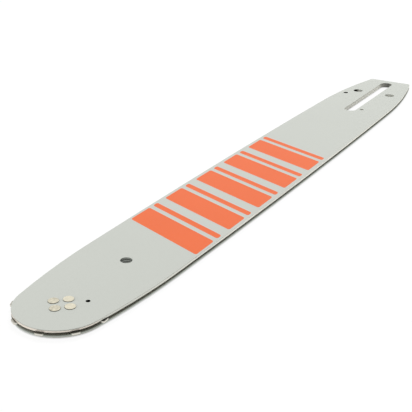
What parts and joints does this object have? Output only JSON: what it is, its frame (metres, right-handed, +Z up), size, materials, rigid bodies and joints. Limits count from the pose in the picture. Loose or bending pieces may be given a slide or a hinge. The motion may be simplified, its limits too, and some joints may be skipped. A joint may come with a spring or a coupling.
{
  "type": "chainsaw guide bar",
  "caption": "Laminated chainsaw guide bar with a chain groove between its side plates, a roller-bearing sprocket nose, and a stud slot with adjuster holes at the tail.",
  "frame": {"origin": "under the middle of the bar, on the surface that it lies on", "axes": "+X along the bar towards the sprocket nose, +Z up through the plates"},
  "size_m": [0.5169, 0.063, 0.005],
  "materials": {
    "painted_plate": "satin",
    "core_steel": "satin",
    "sprocket_steel": "satin",
    "bearing_steel": "polished",
    "rivet_steel": "satin",
    "face_print": "satin"
  },
  "bodies": {
    "bar": {"upper_side_plate": "painted_plate", "core_plate": "core_steel", "lower_side_plate": "painted_plate", "inner_race": "bearing_steel", "nose_rivets": "rivet_steel"},
    "sprocket": {"nose_sprocket": "sprocket_steel"},
    "roller_ring": {"nose_roller_01": "bearing_steel", "nose_roller_02": "bearing_steel", "nose_roller_03": "bearing_steel", "nose_roller_04": "bearing_steel", "nose_roller_05": "bearing_steel", "nose_roller_06": "bearing_steel", "nose_roller_07": "bearing_steel", "nose_roller_08": "bearing_steel", "nose_roller_09": "bearing_steel", "nose_roller_10": "bearing_steel", "nose_roller_11": "bearing_steel", "nose_roller_12": "bearing_steel", "nose_roller_13": "bearing_steel", "nose_roller_14": "bearing_steel", "nose_roller_15": "bearing_steel", "nose_roller_16": "bearing_steel", "nose_roller_17": "bearing_steel", "nose_roller_18": "bearing_steel", "nose_roller_19": "bearing_steel", "nose_roller_20": "bearing_steel"}
  },
  "joints": [
    {"name": "sprocket_spin", "type": "hinge", "parent": "bar", "child": "sprocket", "pos_m": [0.23339, 0, 0.0025], "axis": [0, 0, 1], "continuous": true},
    {"name": "roller_orbit", "type": "hinge", "parent": "bar", "child": "roller_ring", "pos_m": [0.23339, 0, 0.0025], "axis": [0, 0, 1], "continuous": true}
  ],
  "couplings": [
    {"joint": "roller_orbit", "follows": "sprocket_spin", "ratio": 0.57635}
  ]
}
